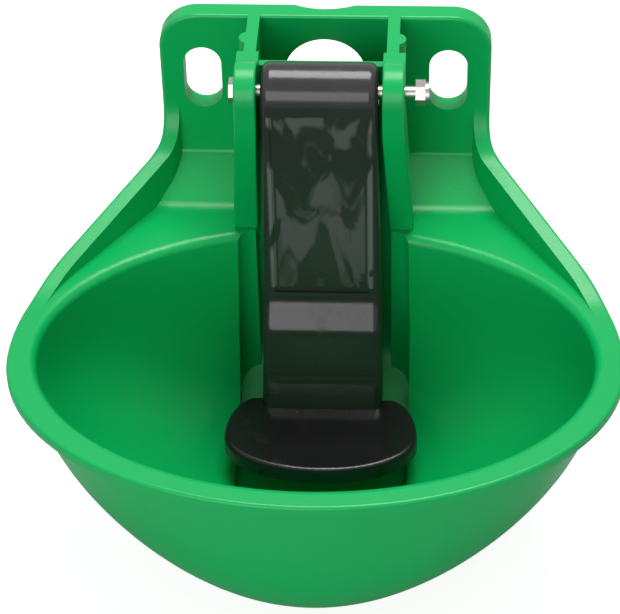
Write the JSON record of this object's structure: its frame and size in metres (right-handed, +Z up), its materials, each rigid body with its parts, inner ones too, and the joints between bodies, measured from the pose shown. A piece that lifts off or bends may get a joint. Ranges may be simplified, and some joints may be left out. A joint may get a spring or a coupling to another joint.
{
  "type": "livestock drinking bowl",
  "caption": "Wall-mounted livestock drinking bowl: one-piece green shell with basin and fixing slots, black nose paddle on a cross bolt, brass paddle valve behind it.",
  "frame": {"origin": "on the wall plane at the plate's flat back, midway between the two upright slots", "axes": "+X to the right as the animal sees it, +Y into the wall, +Z up"},
  "size_m": [0.269, 0.231, 0.203],
  "materials": {
    "green_plastic": "gloss",
    "black_plastic": "gloss",
    "steel": "satin",
    "brass": "satin",
    "black_rubber": "matte",
    "white_plastic": "matte"
  },
  "bodies": {
    "bowl": {"bowl_shell": "green_plastic", "pivot_bolt": "steel", "lock_nut": "steel", "lock_nut_insert": "white_plastic", "valve_body": "brass", "barrel_gasket": "black_rubber", "clamp_nut": "brass", "clamp_washer": "steel", "inlet_strainer": "white_plastic", "seat_bush": "brass", "seat_o_ring": "black_rubber", "stem_guide": "white_plastic", "guide_circlip": "steel", "stem_spring": "steel", "throttle_screw": "brass", "throttle_o_ring": "black_rubber"},
    "nose_paddle": {"paddle": "black_plastic", "paddle_bushes": "white_plastic"},
    "stem": {"valve_stem": "steel", "seal_disc": "black_rubber"}
  },
  "joints": [
    {"name": "paddle_hinge", "type": "hinge", "parent": "bowl", "child": "nose_paddle", "pos_m": [0, -0.054, 0.024], "axis": [1, 0, 0], "range_deg": [0, 5], "stiffness_Nm_per_rad": 1.2, "springref_deg": -8.59},
    {"name": "stem_slide", "type": "slide", "parent": "bowl", "child": "stem", "axis": [0, 1, 0], "range_m": [0, 0.0037], "deforming": ["stem_spring"]}
  ],
  "couplings": [
    {"joint": "stem_slide", "follows": "paddle_hinge", "m_per_rad": 0.041}
  ]
}
